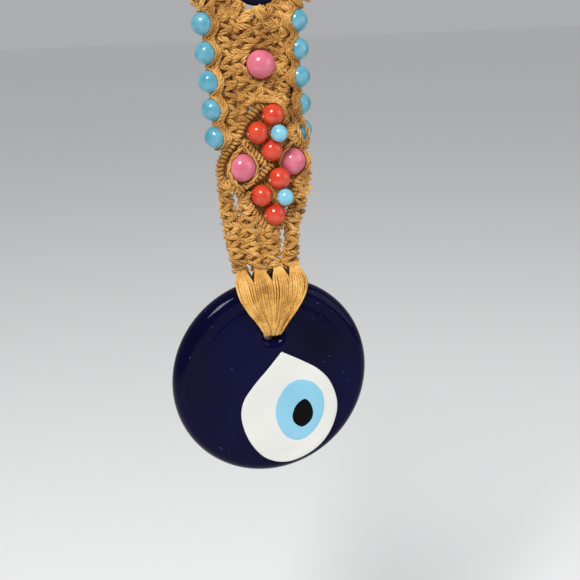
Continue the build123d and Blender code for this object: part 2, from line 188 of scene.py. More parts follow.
# %% The cast glass group
def make_cast_glass_group():
    group, inside, out = new_group("cast_glass", {"Wave Size": 60.0, "Wave": 0.25, "Speck": 0.5},
                                   {"Cloud": "NodeSocketFloat", "Specks": "NodeSocketFloat",
                                    "Wear": "NodeSocketFloat", "Normal": "NodeSocketVector"})
    place = add(group, "ShaderNodeTexCoord").outputs["Object"]
    wave = add(group, "ShaderNodeTexNoise", detail=2.0, roughness=0.4)
    wire(group, place, wave.inputs["Vector"])
    wire(group, inside.outputs["Wave Size"], wave.inputs["Scale"])
    cells = add(group, "ShaderNodeTexVoronoi", scale=420.0)
    wire(group, place, cells.inputs["Vector"])
    dot = add(group, "ShaderNodeMath", operation="LESS_THAN")
    dot.inputs[1].default_value = 0.09
    wire(group, cells.outputs["Distance"], dot.inputs[0])
    rare = add(group, "ShaderNodeTexNoise", scale=260.0, detail=1.0)
    wire(group, place, rare.inputs["Vector"])
    chosen = add(group, "ShaderNodeMath", operation="GREATER_THAN")
    chosen.inputs[1].default_value = 0.60
    wire(group, rare.outputs["Fac"], chosen.inputs[0])
    both = add(group, "ShaderNodeMath", operation="MULTIPLY")
    wire(group, dot.outputs[0], both.inputs[0])
    wire(group, chosen.outputs[0], both.inputs[1])
    specks = add(group, "ShaderNodeMath", operation="MULTIPLY")
    wire(group, both.outputs[0], specks.inputs[0])
    wire(group, inside.outputs["Speck"], specks.inputs[1])
    wear = add(group, "ShaderNodeTexNoise", scale=900.0, detail=5.0, roughness=0.7)
    wire(group, place, wear.inputs["Vector"])
    bump = add(group, "ShaderNodeBump", distance=0.0006)
    wire(group, wave.outputs["Fac"], bump.inputs["Height"])
    wire(group, inside.outputs["Wave"], bump.inputs["Strength"])
    wire(group, wave.outputs["Fac"], out.inputs["Cloud"])
    wire(group, specks.outputs[0], out.inputs["Specks"])
    wire(group, wear.outputs["Fac"], out.inputs["Wear"])
    wire(group, bump.outputs["Normal"], out.inputs["Normal"])
    return group


CAST_GLASS = make_cast_glass_group()


# %% [markdown]
# ## Materials
# The threads are golden-brown bast with a silky sheen: the colour wanders from straw to brown, and sheen
# on the Principled shader lifts the edges as loose fibres do. Glass is opaque here: a strongly coloured
# base with a plain gloss, and the cast-glass group for its waves and bubbles.

# %% Thread materials
def new_material(name, **settings):
    """Material with a Principled shader. Settings go on the shader's own sockets."""
    material = bpy.data.materials.new(name)
    material.use_nodes = True
    tree = material.node_tree
    shader = tree.nodes["Principled BSDF"]
    for title, value in settings.items():
        shader.inputs[title.replace("_", " ")].default_value = value
    return material, tree, shader


def use_group(tree, group, **values):
    node = add(tree, "ShaderNodeGroup", node_tree=group)
    for name, value in values.items():
        node.inputs[name.replace("_", " ")].default_value = value
    return node


def thread_material(name, dark, middle, light, roughness, bump):
    material, tree, shader = new_material(name, Roughness=roughness, Sheen_Weight=0.12,
                                          Sheen_Roughness=0.4, Specular_IOR_Level=0.35)
    shader.inputs["Sheen Tint"].default_value = (1.0, 0.86, 0.62, 1.0)
    fibre = use_group(tree, FIBRE, Bump=bump)
    blend = add(tree, "ShaderNodeMath", operation="MULTIPLY_ADD")
    blend.inputs[1].default_value = 0.45
    wire(tree, fibre.outputs["Shade"], blend.inputs[0])
    half = add(tree, "ShaderNodeMath", operation="MULTIPLY")
    half.inputs[1].default_value = 0.55
    wire(tree, fibre.outputs["Patch"], half.inputs[0])
    wire(tree, half.outputs[0], blend.inputs[2])
    colour = ramp(tree, blend.outputs[0], [(0.36, dark), (0.5, middle), (0.64, light)])
    wire(tree, colour, shader.inputs["Base Color"])
    wire(tree, fibre.outputs["Normal"], shader.inputs["Normal"])
    return material


band_thread = thread_material("band_thread", (0.20, 0.075, 0.012), (0.48, 0.23, 0.045), (0.80, 0.48, 0.15),
                              roughness=0.55, bump=0.35)
fan_thread = thread_material("fan_thread", (0.26, 0.10, 0.014), (0.60, 0.31, 0.06), (0.88, 0.56, 0.18),
                             roughness=0.42, bump=0.3)
# The loose fibres are much paler than the threads: partly the paler colour of thin single fibres, partly a
# painted highlight, since their lightest colour is the threads' highlight colour.
loose_fibre = thread_material("loose_fibre", (0.7, 0.42, 0.14), (0.85, 0.58, 0.24), (0.95, 0.75, 0.4),
                              roughness=0.6, bump=0.0)


# %% Glass materials
def glass_material(name, deep, clear, speck_colour, roughness=0.06, wave=0.2, wave_size=60.0, speck=0.5,
                   shine=0.5):
    material, tree, shader = new_material(name, Specular_IOR_Level=shine)
    cast = use_group(tree, CAST_GLASS, Wave=wave, Wave_Size=wave_size, Speck=speck)
    colour = ramp(tree, cast.outputs["Cloud"], [(0.3, deep), (0.7, clear)])
    mix = add(tree, "ShaderNodeMix", data_type="RGBA")
    mix.inputs[7].default_value = (*speck_colour, 1.0)
    wire(tree, cast.outputs["Specks"], mix.inputs[0])
    wire(tree, colour, mix.inputs[6])
    wire(tree, mix.outputs[2], shader.inputs["Base Color"])
    rough = add(tree, "ShaderNodeMapRange")
    rough.inputs["To Min"].default_value = roughness * 0.5
    rough.inputs["To Max"].default_value = roughness * 1.8
    wire(tree, cast.outputs["Wear"], rough.inputs["Value"])
    wire(tree, rough.outputs[0], shader.inputs["Roughness"])
    wire(tree, cast.outputs["Normal"], shader.inputs["Normal"])
    return material


cobalt = glass_material("cobalt_glass", (0.0005, 0.0005, 0.012), (0.001, 0.001, 0.026), (0.10, 0.14, 0.5),
                        roughness=0.05, wave=0.12, wave_size=45.0, shine=0.09)
white_glass = glass_material("white_glass", (0.64, 0.64, 0.605), (0.70, 0.70, 0.66), (0.62, 0.62, 0.62),
                             wave=0.10, speck=0.3)
iris_glass = glass_material("light_blue_glass", (0.21, 0.48, 0.63), (0.25, 0.53, 0.68), (0.40, 0.62, 0.76),
                            wave=0.10, speck=0.2, shine=0.3)
black_glass = glass_material("black_glass", (0.001, 0.001, 0.001), (0.002, 0.002, 0.002),
                             (0.01, 0.01, 0.01), wave=0.05, shine=0.06)
turquoise = glass_material("turquoise_bead", (0.06, 0.25, 0.34), (0.14, 0.38, 0.48), (0.32, 0.56, 0.66),
                           roughness=0.12, wave=0.15, wave_size=300.0)
light_blue = glass_material("light_blue_bead", (0.13, 0.42, 0.55), (0.22, 0.54, 0.66), (0.5, 0.74, 0.84),
                            roughness=0.10, wave=0.12, wave_size=300.0)
pink = glass_material("pink_bead", (0.54, 0.11, 0.165), (0.68, 0.18, 0.25), (0.84, 0.42, 0.50),
                      roughness=0.12, wave=0.15, wave_size=260.0)
red = glass_material("red_bead", (0.52, 0.035, 0.014), (0.66, 0.07, 0.026), (0.8, 0.24, 0.16),
                     roughness=0.12, wave=0.15, wave_size=300.0)
print(len(bpy.data.materials), "materials")

# %% [markdown]
# ## Routes
# A thread is a tube along a route, and a route is only an array of points. These helpers make a smooth
# route from a few points, give each point its own directions, twist a cord out of several threads, and
# wind a coil.

# %% Route helpers
def spread(points, step):
    """The same line with its points evenly spaced."""
    points = np.asarray(points, float)
    run = np.concatenate([[0], np.cumsum(np.linalg.norm(np.diff(points, axis=0), axis=1))])
    count = max(2, int(round(run[-1] / step)) + 1)
    return np.column_stack([np.interp(np.linspace(0, run[-1], count), run, points[:, i]) for i in range(3)])


def smooth_route(points, step=0.8):
    """Smooth line through a few points (Catmull-Rom), evenly spaced."""
    p = np.asarray(points, float)
    p = np.vstack([2 * p[0] - p[1], p, 2 * p[-1] - p[-2]])
    t = np.linspace(0, 1, 12, endpoint=False)[:, None]
    line = []
    for a, b, c, d in zip(p, p[1:], p[2:], p[3:]):
        line.append(0.5 * (2 * b + (c - a) * t + (2 * a - 5 * b + 4 * c - d) * t**2
                           + (3 * b - a - 3 * c + d) * t**3))
    return spread(np.vstack(line + [p[-2:-1]]), step)


def length_along(route):
    return np.concatenate([[0], np.cumsum(np.linalg.norm(np.diff(route, axis=0), axis=1))])


def directions(route):
    """Tangent and two side directions at each point, carried along without twisting."""
    tangent = np.gradient(route, axis=0)
    tangent /= np.linalg.norm(tangent, axis=1)[:, None] + 1e-12
    side = np.cross(tangent[0], (0.3, 1.0, 0.2))
    sides = []
    for t in tangent:
        side = side - t * side.dot(t)
        side = side / (np.linalg.norm(side) + 1e-12)
        sides.append(side)
    sides = np.array(sides)
    return tangent, sides, np.cross(tangent, sides)


def twist(route, count, offset, lay, phase=0.0):
    """Routes of the threads that are twisted into a cord."""
    _, one, two = directions(route)
    run = length_along(route)
    routes = []
    for i in range(count):
        angle = 2 * math.pi * (run / lay + i / count) + phase
        routes.append(route + offset * (np.cos(angle)[:, None] * one + np.sin(angle)[:, None] * two))
    return routes


def coil(route, radius, lead, per_turn=14, phase=0.0):
    """Route of a coil wound round another route."""
    fine = spread(route, lead / per_turn)
    _, one, two = directions(fine)
    angle = 2 * math.pi * length_along(fine) / lead + phase
    return fine + radius * (np.cos(angle)[:, None] * one + np.sin(angle)[:, None] * two)


def around_beads(routes, clear=0.35):
    """The same routes, with every point that would be inside a bead moved out to the bead's surface."""
    moved = []
    for route in routes:
        for centre, radius in BEAD_BALLS:
            away = route - centre
            far = np.linalg.norm(away, axis=1)[:, None] + 1e-9
            route = np.where(far < radius + clear, centre + away / far * (radius + clear), route)
        moved.append(route)
    return moved


SIDE_BEADS = [f"side_bead_{side}_{i}" for side in ("left", "right") for i in range(1, 6)]
CELL_BEADS = [f"red_bead_{i}" for i in range(1, 7)]
CELL_BEADS += [f"pink_bead_{place}" for place in ("left", "right", "centre")]
CELL_BEADS += ["blue_bead_1", "blue_bead_2"]
BEAD_BALLS = [(node_centre(node), (node_box(node)[1] - node_box(node)[0])[1] / 2)
              for node in SIDE_BEADS + CELL_BEADS]


# %% Thread meshes
def thread_piece(name, routes, radius, material, rounds=1):
    """Mesh of round threads, one along each route, in one piece."""
    curve = bpy.data.curves.new(name, "CURVE")
    curve.dimensions = "3D"
    curve.bevel_depth = radius * MM
    curve.bevel_resolution = rounds
    curve.use_fill_caps = True
    for route in routes:
        spline = curve.splines.new("POLY")
        spline.points.add(len(route) - 1)
        flat = np.column_stack([route * MM, np.ones(len(route))])
        spline.points.foreach_set("co", flat.astype(np.float32).ravel())
    holder = bpy.data.objects.new(name + "_line", curve)
    bpy.context.scene.collection.objects.link(holder)
    mesh = bpy.data.meshes.new_from_object(holder)
    bpy.data.objects.remove(holder)
    bpy.data.curves.remove(curve)
    mesh.name = name
    return finished(name, mesh, material)


def finished(name, mesh, material):
    """Smooth-shaded object at the origin."""
    mesh.materials.clear()
    mesh.materials.append(material)
    mesh.polygons.foreach_set("use_smooth", np.ones(len(mesh.polygons), bool))
    piece = bpy.data.objects.new(name, mesh)
    bpy.context.scene.collection.objects.link(piece)
    print(f"{name}: {len(mesh.polygons)} faces")
    return piece


# %% [markdown]
# ## Columns of square knots
# A square knot has two filler cords and two working cords. One working cord crosses in front of the
# fillers while the other crosses behind, and at each side one hooks round the other. So the working
# cord's route is a zigzag: a cosine from side to side, and in depth it is in front at the middle of each
# crossing and behind at its ends. Each cord is four threads twisted together, and each knot is a little
# different, as by hand.

# %% Knot helpers
THREAD_R = 0.44          # one thread
CORD_OFFSET = 0.60       # threads lie this far from the middle of a cord
CORD_LAY = 7.0           # length of one twist
KNOT_PITCH = 4.6         # height of one full square knot
COLUMN_W = 6.2           # a column of ordinary width
KNOT_HALF_W = 2.35       # middle of a working cord at the side of such a column
KNOT_FRONT = 1.75        # middle of a working cord in front of the fillers
KNOT_HOOK = 0.5          # how far it dips behind at the sides


def uneven(count, amount):
    """One factor for each knot, near 1."""
    return 1 + amount * rng.uniform(-1, 1, count)


CRUMPLE = [(rng.uniform(-1, 1, 3), rng.uniform(0.7, 1.5), rng.uniform(0, 6), rng.uniform(-1, 1, 3))
           for _ in range(9)]


def crumpled(routes, amount=0.24):
    """The same routes pushed about a little by one smooth field, so that neighbours move together."""
    moved = []
    for route in routes:
        push = np.zeros_like(route)
        for direction, pace, phase, way in CRUMPLE:
            along = route @ (direction / np.linalg.norm(direction))
            push += np.sin(along * pace + phase)[:, None] * way
        moved.append(route + amount * push)
    return around_beads(moved, THREAD_R)


def knot_column(centre, width_at, start_phase=0.0, samples=20):
    """Routes of the threads in a column of square knots along a centre line in the XZ plane."""
    centre = spread(centre, 0.5)
    run = length_along(centre)
    knots = run[-1] / KNOT_PITCH
    whole = int(knots) + 3
    per_knot = np.arange(whole)
    width_of, depth_of = uneven(whole, 0.2), uneven(whole, 0.3)
    shift_of = rng.uniform(-0.5, 0.5, whole)

    def place(u, x, y, z_shift):
        along = np.clip(KNOT_PITCH * u + z_shift, 0, run[-1])
        point = np.column_stack([np.interp(along, run, centre[:, i]) for i in range(3)])
        ahead = np.column_stack([np.interp(np.clip(along + 0.6, 0, run[-1]), run, centre[:, i])
                                 - np.interp(np.clip(along - 0.6, 0, run[-1]), run, centre[:, i])
                                 for i in range(3)])
        ahead /= np.linalg.norm(ahead, axis=1)[:, None] + 1e-12
        side = np.cross(ahead, (0.0, 1.0, 0.0))
        factor = (width_at(point[:, 2]) / COLUMN_W)[:, None]
        forward = np.array((0.0, 1.0, 0.0)) * (y * factor[:, 0]**0.5)[:, None]
        return point + side * (x[:, None] * factor) + forward

    u = np.linspace(0, knots, int(knots * samples) + 2)
    phase = 2 * math.pi * (u + start_phase)
    width = KNOT_HALF_W * np.interp(u, per_knot, width_of)
    depth = KNOT_FRONT * np.interp(u, per_knot, depth_of)
    shift = np.interp(u, per_knot, shift_of)
    reach = (1 - np.cos(2 * phase)) / 2
    y_front = KNOT_HOOK * (1 - reach) - depth * reach
    sway = 0.075 * KNOT_PITCH * np.sin(2 * phase)
    routes = []
    for sign in (1, -1):
        x = -sign * width * np.cos(phase) + shift
        route = place(u, x, sign * y_front, -sway + 0.3 * sign * np.sin(phase))
        route = around_beads([route], CORD_OFFSET + THREAD_R)[0]
        routes += twist(route, 4, CORD_OFFSET, CORD_LAY, rng.uniform(0, 6))
    coarse = np.linspace(0, knots, int(knots * 8) + 2)
    for sign in (1, -1):
        x = sign * 0.75 + 0.25 * np.sin(2 * math.pi * coarse + sign)
        route = place(coarse, x, 0.12 * np.cos(2 * math.pi * coarse), np.zeros_like(coarse))
        route = around_beads([route], CORD_OFFSET + THREAD_R)[0]
        routes += twist(route, 4, CORD_OFFSET * 0.9, CORD_LAY, rng.uniform(0, 6))
    return routes


# %% [markdown]
# ## Upper columns
# Two columns pass each side of the small eye, run down the band, and part round the pink bead. The band
# is not even: it follows the side beads, which lean to the left at the top. Columns of knots behind and
# between the first four close the band, because in the real band every second row of knots joins two
# columns.

# %% Upper columns
ARCH_MID, ARCH_HALF_H, ARCH_HALF_W = -50.6, 14.3, 11.8
NECK_Z = node_box("neck_core")[0][2]
PINK = node_centre("pink_bead_centre")
EDGE_INSET = 2.9         # the band's edge lies this far inside the line of the side beads
NECK_COLUMN_W = 2.4      # width of a column where it is pulled together at the neck
NARROWING_Z = -60.0
BEAD_LINE = {side: np.array([node_centre(f"side_bead_{side}_{i}") for i in range(1, 6)])
             for side in ("left", "right")}


def bead_line(side, z):
    """Places on the line through a side's beads."""
    line = BEAD_LINE[side][::-1]
    return np.column_stack([np.interp(z, line[:, 2], line[:, 0]), np.interp(z, line[:, 2], line[:, 1]), z])


def half_band(side, z):
    """How far the band reaches from its middle to one side, without the arch."""
    return np.abs(bead_line(side, np.maximum(z, BEAD_LINE[side][3][2]))[:, 0]) - EDGE_INSET


def arch_half_width(z):
    t = np.minimum(np.abs(z - ARCH_MID) / ARCH_HALF_H, 1)
    return ARCH_HALF_W * np.cos(math.pi / 2 * t)**0.8


def column_width(side, z):
    t = np.clip((z - NARROWING_Z) / (NECK_Z - NARROWING_Z), 0, 1)
    full = half_band(side, z) / 2
    return full + (NECK_COLUMN_W - full) * t


def upper_column_line(side, share, low, high=NECK_Z, y=0.0):
    """Middle line of a column. share says how many column widths it is from the band's middle slit."""
    z = np.arange(high, low, -0.5)
    x = arch_half_width(z) + share * column_width(side, z)
    sign = -1 if side == "left" else 1
    return np.column_stack([sign * x, np.full_like(z, y), z])


pieces = {}
UPPER = {  # name: side, share, lowest place
    "column_1": ("left", 1.5, -106.5),
    "column_2": ("left", 0.5, -95.5),
    "column_3": ("right", 0.5, -94.8),
    "column_4": ("right", 1.5, -102.0),
}
for number, (name, (side, share, low)) in enumerate(UPPER.items()):
    line = upper_column_line(side, share, low)
    routes = knot_column(line, lambda z: column_width(side, z) * 1.06, 0.25 * number)
    if share > 1:
        behind = upper_column_line(side, 1.0, low + 4, -62.0, 0.7)
        routes += knot_column(behind, lambda z: column_width(side, z), 0.5)
    pieces[name] = thread_piece(name, crumpled(routes), THREAD_R, band_thread)

ARCH_FOOT = ARCH_MID - ARCH_HALF_H
above_pink = upper_column_line("right", 0.0, PINK[2] + 5.0, ARCH_FOOT + 1.2, -0.2)
below_pink = upper_column_line("left", 0.0, -95.0, PINK[2] - 5.4, -0.2)
middle = knot_column(above_pink, lambda z: 6.0 + 0 * z, 0.5)
middle += knot_column(below_pink, lambda z: 3.5 + 0 * z, 0.5)
pieces["column_middle"] = thread_piece("column_middle", crumpled(middle), THREAD_R, band_thread)

# %% [markdown]
# ## Edge cords
# The side beads sit in the edge of the band. One cord runs through them. Others hug their inner side in
# front and behind, and stand out as tufts in the gap between two beads.

# %% Edge cords
BEAD_PITCH = BEAD_LINE["left"][0][2] - BEAD_LINE["left"][1][2]
# a cord beside the beads: how far inside their line, how much more at a bead, how deep, how much deeper
EDGE_CORDS = ((0.2, 2.2, 0.6, 2.6), (1.4, 1.9, 1.3, 1.7), (2.4, 1.8, 1.9, 0.8))
# how far the cords in front leave a side's beads bare, from its lowest bead up
BARE = {"left": (0, 0, 0, 0, 0), "right": (3.0, -0.9, 1.2, 1.2, 1.2)}


def edge_cord_routes(side):
    sign = -1 if side == "left" else 1
    top = BEAD_LINE[side][0][2]
    z = np.arange(top + 0.62 * BEAD_PITCH, top - 4.5 * BEAD_PITCH, -0.35)
    beat = (1 + np.cos(2 * math.pi * (z - top) / BEAD_PITCH)) / 2
    line = bead_line(side, z)
    bare = np.interp(z, BEAD_LINE[side][::-1, 2], BARE[side])
    routes = []
    for face in (-1, 1):
        for inward, more, depth, deeper in EDGE_CORDS:
            wander = 0.25 * np.sin(z * rng.uniform(0.5, 1.2))
            x = line[:, 0] - sign * (inward + (more + bare) * beat + wander)
            y = line[:, 1] * 0.35 + face * (depth + deeper * beat)
            routes += twist(np.column_stack([x, y, z]), 3, 0.42, 5.0, rng.uniform(0, 6))
    return around_beads(routes) + twist(line, 3, 0.36, 5.0)


for side in ("left", "right"):
    name = f"edge_cord_{side}"
    pieces[name] = thread_piece(name, edge_cord_routes(side), 0.38, band_thread)

# %% [markdown]
# ## Ribs of half-hitch knots
# A rib is one cord with others knotted round it in a row. Seen from outside it is a tight rope-like
# coil, so a coil of three-thread cord is wound round the rib's line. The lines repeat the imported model's
# ribs.

# %% Ribs
RIB_Y = node_centre("rib_upper_left")[1]
RIBS = {
    "rib_upper_left": [(1.6, -95.2), (-1.4, -96.3), (-6.6, -101.3), (-10.2, -107.3), (-14.0, -111.5),
                       (-16.0, -116.3), (-15.2, -120.9), (-12.6, -122.0)],
    "rib_upper_right": [(7.2, -97.6), (8.9, -100.6), (12.0, -107.4), (14.6, -110.9)],
    "rib_cross_left": [(-7.9, -106.9), (-1.1, -114.0), (1.0, -116.2)],
    "rib_cross_low": [(3.4, -115.9), (1.4, -117.4), (-1.4, -119.6), (-7.5, -123.4), (-9.8, -124.9)],
    "rib_lower_left": [(-12.2, -122.0), (-6.8, -128.4), (-3.6, -133.6), (0.6, -138.6), (2.4, -140.2)],
    "rib_lower_right": [(16.6, -118.6), (13.6, -122.5), (11.0, -126.3), (10.0, -131.2), (7.9, -136.4),
                        (4.0, -139.6)],
}


def rib_routes(points, pitch=1.5):
    line = smooth_route([(x, RIB_Y, z) for x, z in points], 0.5)
    wrap = coil(line, 1.0, pitch, per_turn=15, phase=rng.uniform(0, 6))
    return twist(wrap, 3, 0.32, 3.0, rng.uniform(0, 6)) + twist(line, 3, 0.35, 5.0)


for name, points in RIBS.items():
    pieces[name] = thread_piece(name + "_knots", rib_routes(points), 0.33, band_thread)

# %% [markdown]
# ## Cords in the diamond
# Inside the diamond the cords run from rib to rib, bare, in two directions like a weave. They pass
# behind the beads and cover a little of the pink ones at their sides.

# %% Diamond cords
def strung(points, threads=4, step=0.6):
    """Cord of twisted threads through a few places, given as (x, depth, z)."""
    route = smooth_route(points, step)
    return around_beads(twist(route, threads, CORD_OFFSET * 0.8, CORD_LAY, rng.uniform(0, 6)), THREAD_R)


def woven_cell(top, left, bottom, right, count, depth):
    """Cords that fill a four-sided cell both ways. Corners are (x, z)."""
    top, left, bottom, right = (np.array(corner, float) for corner in (top, left, bottom, right))
    routes = []
    for way, (a, b, c, d) in enumerate(((top, left, right, bottom), (top, right, left, bottom))):
        for t in np.linspace(0.02, 0.98, count):
            start = a + (b - a) * t
            end = c + (d - c) * t
            middle = (start + end) / 2 + rng.uniform(-0.35, 0.35, 2)
            y = depth + 0.9 * way
            through = [(start[0], 1.1, start[1]), (middle[0], y, middle[1]), (end[0], 1.1, end[1])]
            routes += strung(through, 3)
    return routes


diamond = []
diamond += woven_cell((3.6, -94.4), (-9.6, -106.0), (0.8, -116.6), (12.0, -106.8), 11, 1.7)
diamond += woven_cell((-8.6, -105.8), (-15.6, -114.4), (-10.4, -124.6), (0.8, -115.6), 10, 1.6)
diamond += woven_cell((11.6, -106.4), (2.6, -116.6), (11.4, -126.4), (17.2, -115.4), 9, 2.4)
diamond += woven_cell((2.8, -116.2), (-10.2, -124.4), (2.8, -140.6), (12.6, -125.8), 12, 1.7)
# over the sides of the pink beads
PINK_LEFT, PINK_RIGHT = node_centre("pink_bead_left"), node_centre("pink_bead_right")
for bead, hugs in ((PINK_LEFT, (-5.1, -4.6, 4.6, 5.1)), (PINK_RIGHT, (-5.0, -4.5, 4.7, 5.4, 6.2))):
    for reach in hugs:
        side_y = bead[1] - 1.5
        diamond += strung([(bead[0] + 0.06 * reach, bead[1] - 1.6, bead[2] + 7.2),
                           (bead[0] + 0.7 * reach, side_y, bead[2] + 3.6),
                           (bead[0] + reach, side_y, bead[2] - 0.4),
                           (bead[0] + 0.8 * reach, side_y, bead[2] - 4.0),
                           (bead[0] + 0.2 * reach, bead[1] - 0.4, bead[2] - 7.4)], 2)
# over the top of the diamond, and across the last bead on the right
diamond += strung([(-3.4, -1.2, -93.0), (1.0, -2.4, -93.6), (5.2, -2.4, -94.4), (8.2, -1.2, -98.6)])
diamond += strung([(-1.4, -1.4, -92.2), (3.4, -2.4, -92.8), (7.4, -1.8, -95.4), (9.8, -0.8, -101.4)])
diamond += strung([(11.6, -2.0, -97.6), (14.6, -2.4, -101.6), (16.8, -1.4, -106.0),
                   (16.2, -0.8, -111.4)], 2)
diamond += strung([(10.2, -1.0, -97.0), (11.8, -1.8, -101.4), (13.6, -1.6, -106.0),
                   (15.4, -0.8, -110.4)], 3)
pieces["diamond_cords"] = thread_piece("diamond_cords", diamond, 0.38, band_thread)

# %% [markdown]
# ## Lower columns
# Under the diamond the cords are knotted into four columns again. The first three touch, and there is a
# slit between the third and the fourth.

# %% Lower columns
KNOTS_END = FAN_FOLD - 3.0
LOWER_LINES = {  # name: width, points (x, z)
    "lower_column_1": (6.8, [(-14.6, -121.6), (-13.8, -127.0), (-12.9, -132.0), (-11.7, -138.0),
                             (-10.6, -144.0), (-9.9, KNOTS_END)]),
    "lower_column_2": (7.0, [(-7.6, -125.6), (-6.6, -131.0), (-5.0, -137.0), (-4.0, -143.5),
                             (-3.4, KNOTS_END)]),
    "lower_column_3": (7.2, [(1.0, -138.0), (2.3, -142.0), (2.6, -146.0), (3.1, KNOTS_END)]),
    "lower_column_4": (7.2, [(15.0, -119.6), (14.0, -126.4), (12.2, -133.0), (10.5, -138.6), (9.9, -144.4),
                             (9.4, KNOTS_END)]),
}
for number, (name, (width, points)) in enumerate(LOWER_LINES.items()):
    line = smooth_route([(x, 0.0, z) for x, z in points])
    routes = knot_column(line, lambda z: width * np.clip(0.8 + (-122 - z) / 30, 0.8, 1.0), 0.3 * number)
    if name == "lower_column_2":
        for behind in ([(-9.4, 0.7, -134.0), (-8.0, 0.7, -141.0), (-6.8, 0.7, KNOTS_END + 2)],
                       [(-1.6, 0.7, -139.0), (-0.6, 0.7, -145.0), (-0.4, 0.7, KNOTS_END + 2)]):
            routes += knot_column(smooth_route(behind), lambda z: 5.0 + 0 * z, 0.5)
    pieces[name] = thread_piece(name, crumpled(routes), THREAD_R, band_thread)

# %% [markdown]
# ## Thread fan
# Below the last knots the cords open into single threads. They come out in four bunches, cross the
# disc's rim side by side, close in on its hole, go through it and up the back the same way. So each
# thread is one route from the front of the band to the back.

# %% Thread fan
BUNCH_X = (-10.1, -3.5, 3.7, 9.9)
BUNCH_HALF = 3.4
FAN_STEPS = (  # height, depth in front of the middle, how wide the fan is, how open each bunch is
    (-1.8, 0.5, 1.0, 0.18), (-3.4, 1.6, 1.0, 0.36), (-5.2, 3.6, 1.0, 0.74), (-7.0, 5.6, 1.0, 0.98),
    (-9.0, 6.8, 0.99, 1.0), (-12.0, 7.2, 0.93, 1.0), (-15.0, 7.2, 0.81, 1.0), (-18.0, 7.1, 0.66, 1.0),
    (-20.6, 7.0, 0.50, 1.0), (-22.8, 6.9, 0.34, 1.0), (-24.8, 6.0, 0.25, 1.0), (-25.8, 4.4, 0.23, 1.0),
    (-26.0, 2.2, 0.22, 1.0))
BUNDLE_LEVELS = 5        # threads stacked over each other where they pass the hole
LEVEL_STEP = 0.95


def fan_thread_route(bunch, place, level, sink):
    """place runs from -1 to 1 across the bunch, and sink lays the thread under the outer ones."""
    wander = rng.uniform(-0.22, 0.22, 2)
    depth_change = rng.uniform(-0.4, 0.4)
    front = []
    for height, depth, wide, opening in FAN_STEPS:
        opening = max(opening, 0.5) if sink > 0.6 else opening
        x = (BUNCH_X[bunch] + BUNCH_HALF * place * opening) * wide
        crowd = min(1.0, max(0.0, (0.8 - wide) / 0.55))
        stack = crowd * (level - (BUNDLE_LEVELS - 1) / 2) * LEVEL_STEP
        bulge = 0.4 * (1 - place * place) * (depth > 3) * min(1.0, wide * 1.6) - 0.5 * crowd
        z = FAN_FOLD + height + stack * (1 if depth < 6.95 else 0.35)
        forward = depth + bulge + (depth_change - sink) * min(1.0, depth / 4)
        front.append((x + wander[0] * wide, -forward, z))
    front = np.array(front)
    behind = front[::-1] * (1, -1, 1)
    behind[:, 0] += wander[1] + (2.0 - behind[:, 0]) * 0.28 * np.minimum(1, behind[:, 1] / 5)
    return smooth_route(np.vstack([front, behind]), 0.7)


fan_routes = []
PER_BUNCH = 7
for bunch in range(4):
    for i in range(PER_BUNCH):
        place = (i + 0.5) / PER_BUNCH * 2 - 1
        fan_routes.append(fan_thread_route(bunch, place, i % BUNDLE_LEVELS, 0.45 * (i % 2)))
        fan_routes.append(fan_thread_route(bunch, place + 1 / PER_BUNCH, (i + 2) % BUNDLE_LEVELS, 0.95))
pieces["fan_threads"] = thread_piece("fan_threads", fan_routes, 0.43, fan_thread, rounds=2)

# %% [markdown]
# ## Neck and hanging loop
# Above the small eye all sixteen cords gather and are wrapped, and the hanging loop above is wrapped too. A
# wrap is four threads wound side by side, so the coil climbs four threads' width in a turn.

# %% Neck and loop
WRAP_LOW, WRAP_HIGH = node_box("neck_wrap")
NECK_RX, NECK_RY = 4.3, 2.1


def gathered_cords():
    routes = []
    for column, side in ((1, -1), (0, -1), (0, 1), (1, 1)):
        for i in range(4):
            start_x = side * ((column + 0.5) * NECK_COLUMN_W + (i - 1.5) * 0.6)
            angle = 2 * math.pi * (i + 4 * (column + (side > 0) * 2)) / 16
            x, y = NECK_RX * math.cos(angle) * 0.9, NECK_RY * math.sin(angle) * 0.9
            routes += strung([(float(start_x), 0.9 * math.sin(angle), NECK_Z - 2.5), (x, y, WRAP_LOW[2]),
                              (x, y, WRAP_HIGH[2]), (0.75 * x, y, LOOP_FOLD - 1.5),
                              (0.45 * x, 0.7 * y, LOOP_FOLD + 2.5)])
    return routes


def wrap_routes(line, radius_x, radius_y, turns, starts=4):
    """Threads wound side by side round a straight bundle along Z."""
    low, high = line
    t = np.linspace(0, 1, int(turns * 26))
    routes = []
    for i in range(starts):
        angle = 2 * math.pi * turns * t
        lift = (i - (starts - 1) / 2) * 0.78
        routes.append(np.column_stack([radius_x * np.cos(angle), radius_y * np.sin(angle),
                                       low + (high - low) * t + lift]))
    return routes


pieces["neck_cords"] = thread_piece("neck_cords", gathered_cords(), THREAD_R, band_thread)
neck_wraps = wrap_routes((WRAP_LOW[2] + 1.2, WRAP_HIGH[2] - 1.2), NECK_RX + 1.2, NECK_RY + 1.3, 2.4)
pieces["neck_wrapping"] = thread_piece("neck_wrapping", neck_wraps, THREAD_R, band_thread)

